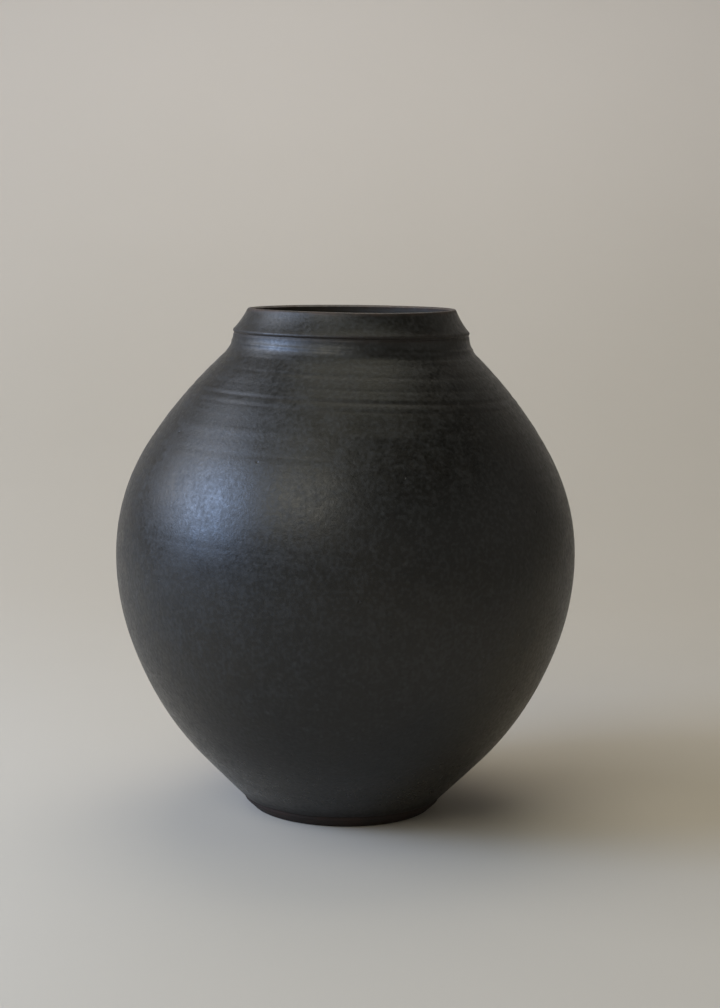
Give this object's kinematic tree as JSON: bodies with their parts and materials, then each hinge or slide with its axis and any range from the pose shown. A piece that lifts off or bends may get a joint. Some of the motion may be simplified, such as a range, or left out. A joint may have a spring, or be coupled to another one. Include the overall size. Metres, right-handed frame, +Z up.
{
  "type": "round ceramic pot",
  "caption": "Round ceramic pot with a satin black glaze, a small bare foot, a wide belly and a short neck with a thin ledge under the lip; open mouth.",
  "frame": {"origin": "centre of the foot ring's resting face", "axes": "+Z up along the throwing axis; the front is the -Y side"},
  "size_m": [0.2556, 0.2556, 0.28],
  "materials": {
    "bare_clay": "unglazed fired clay, matt, fine grog",
    "joint_slip": "fired slip, matt, smooth",
    "black_glaze": "satin black glaze with fine grey flecks, brown where thin",
    "liner_glaze": "satin black glaze, a little glossier inside"
  },
  "bodies": {
    "root": {"foot_ring": "bare_clay", "floor_disc": "bare_clay", "lower_bowl": "bare_clay", "upper_bowl": "bare_clay", "neck_collar": "bare_clay", "rim_band": "bare_clay", "belly_inner_coil": "bare_clay", "foot_slip_ring": "joint_slip", "floor_slip_ring": "joint_slip", "belly_slip_ring": "joint_slip", "neck_slip_ring": "joint_slip", "rim_slip_ring": "joint_slip", "outer_glaze": "black_glaze", "inner_glaze": "liner_glaze"}
  },
  "joints": []
}
